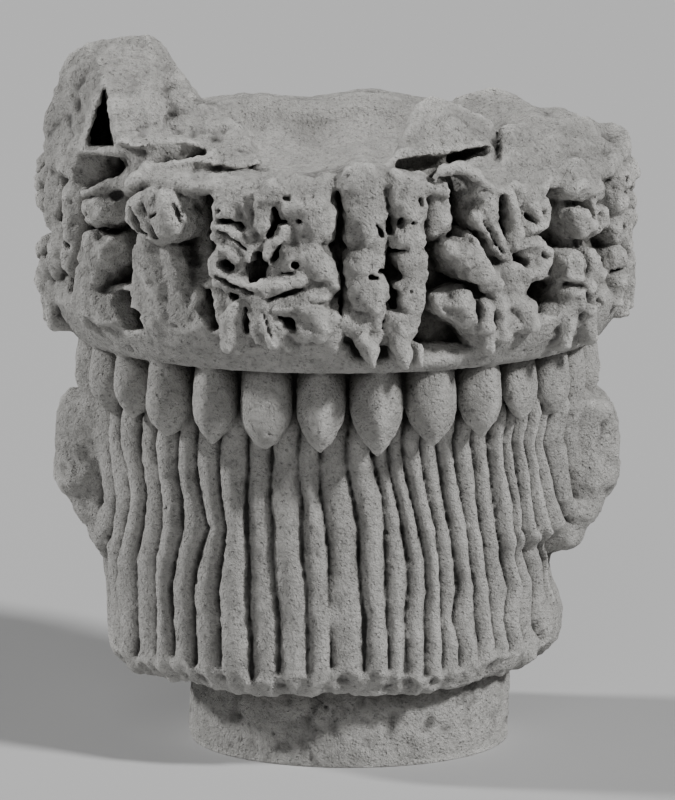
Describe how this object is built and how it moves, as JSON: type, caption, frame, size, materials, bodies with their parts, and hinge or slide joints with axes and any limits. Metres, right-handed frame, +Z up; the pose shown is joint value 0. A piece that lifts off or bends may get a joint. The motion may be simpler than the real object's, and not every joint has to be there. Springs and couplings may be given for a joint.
{
  "type": "limestone column capital",
  "caption": "Weathered carved stone column capital: ribbed bell, ring of hanging eggs, and a drum carved with plants and rosettes under a broken hollowed top.",
  "frame": {"origin": "middle of the neck's flat underside, on the drum's axis", "axes": "+Z up the column's axis, -Y towards the carved side that the picture shows, +X to that side's right"},
  "size_m": [0.6047, 0.6098, 0.7301],
  "materials": {
    "limestone": "weathered, matt"
  },
  "bodies": {
    "root": {"capital": "limestone"}
  },
  "joints": []
}
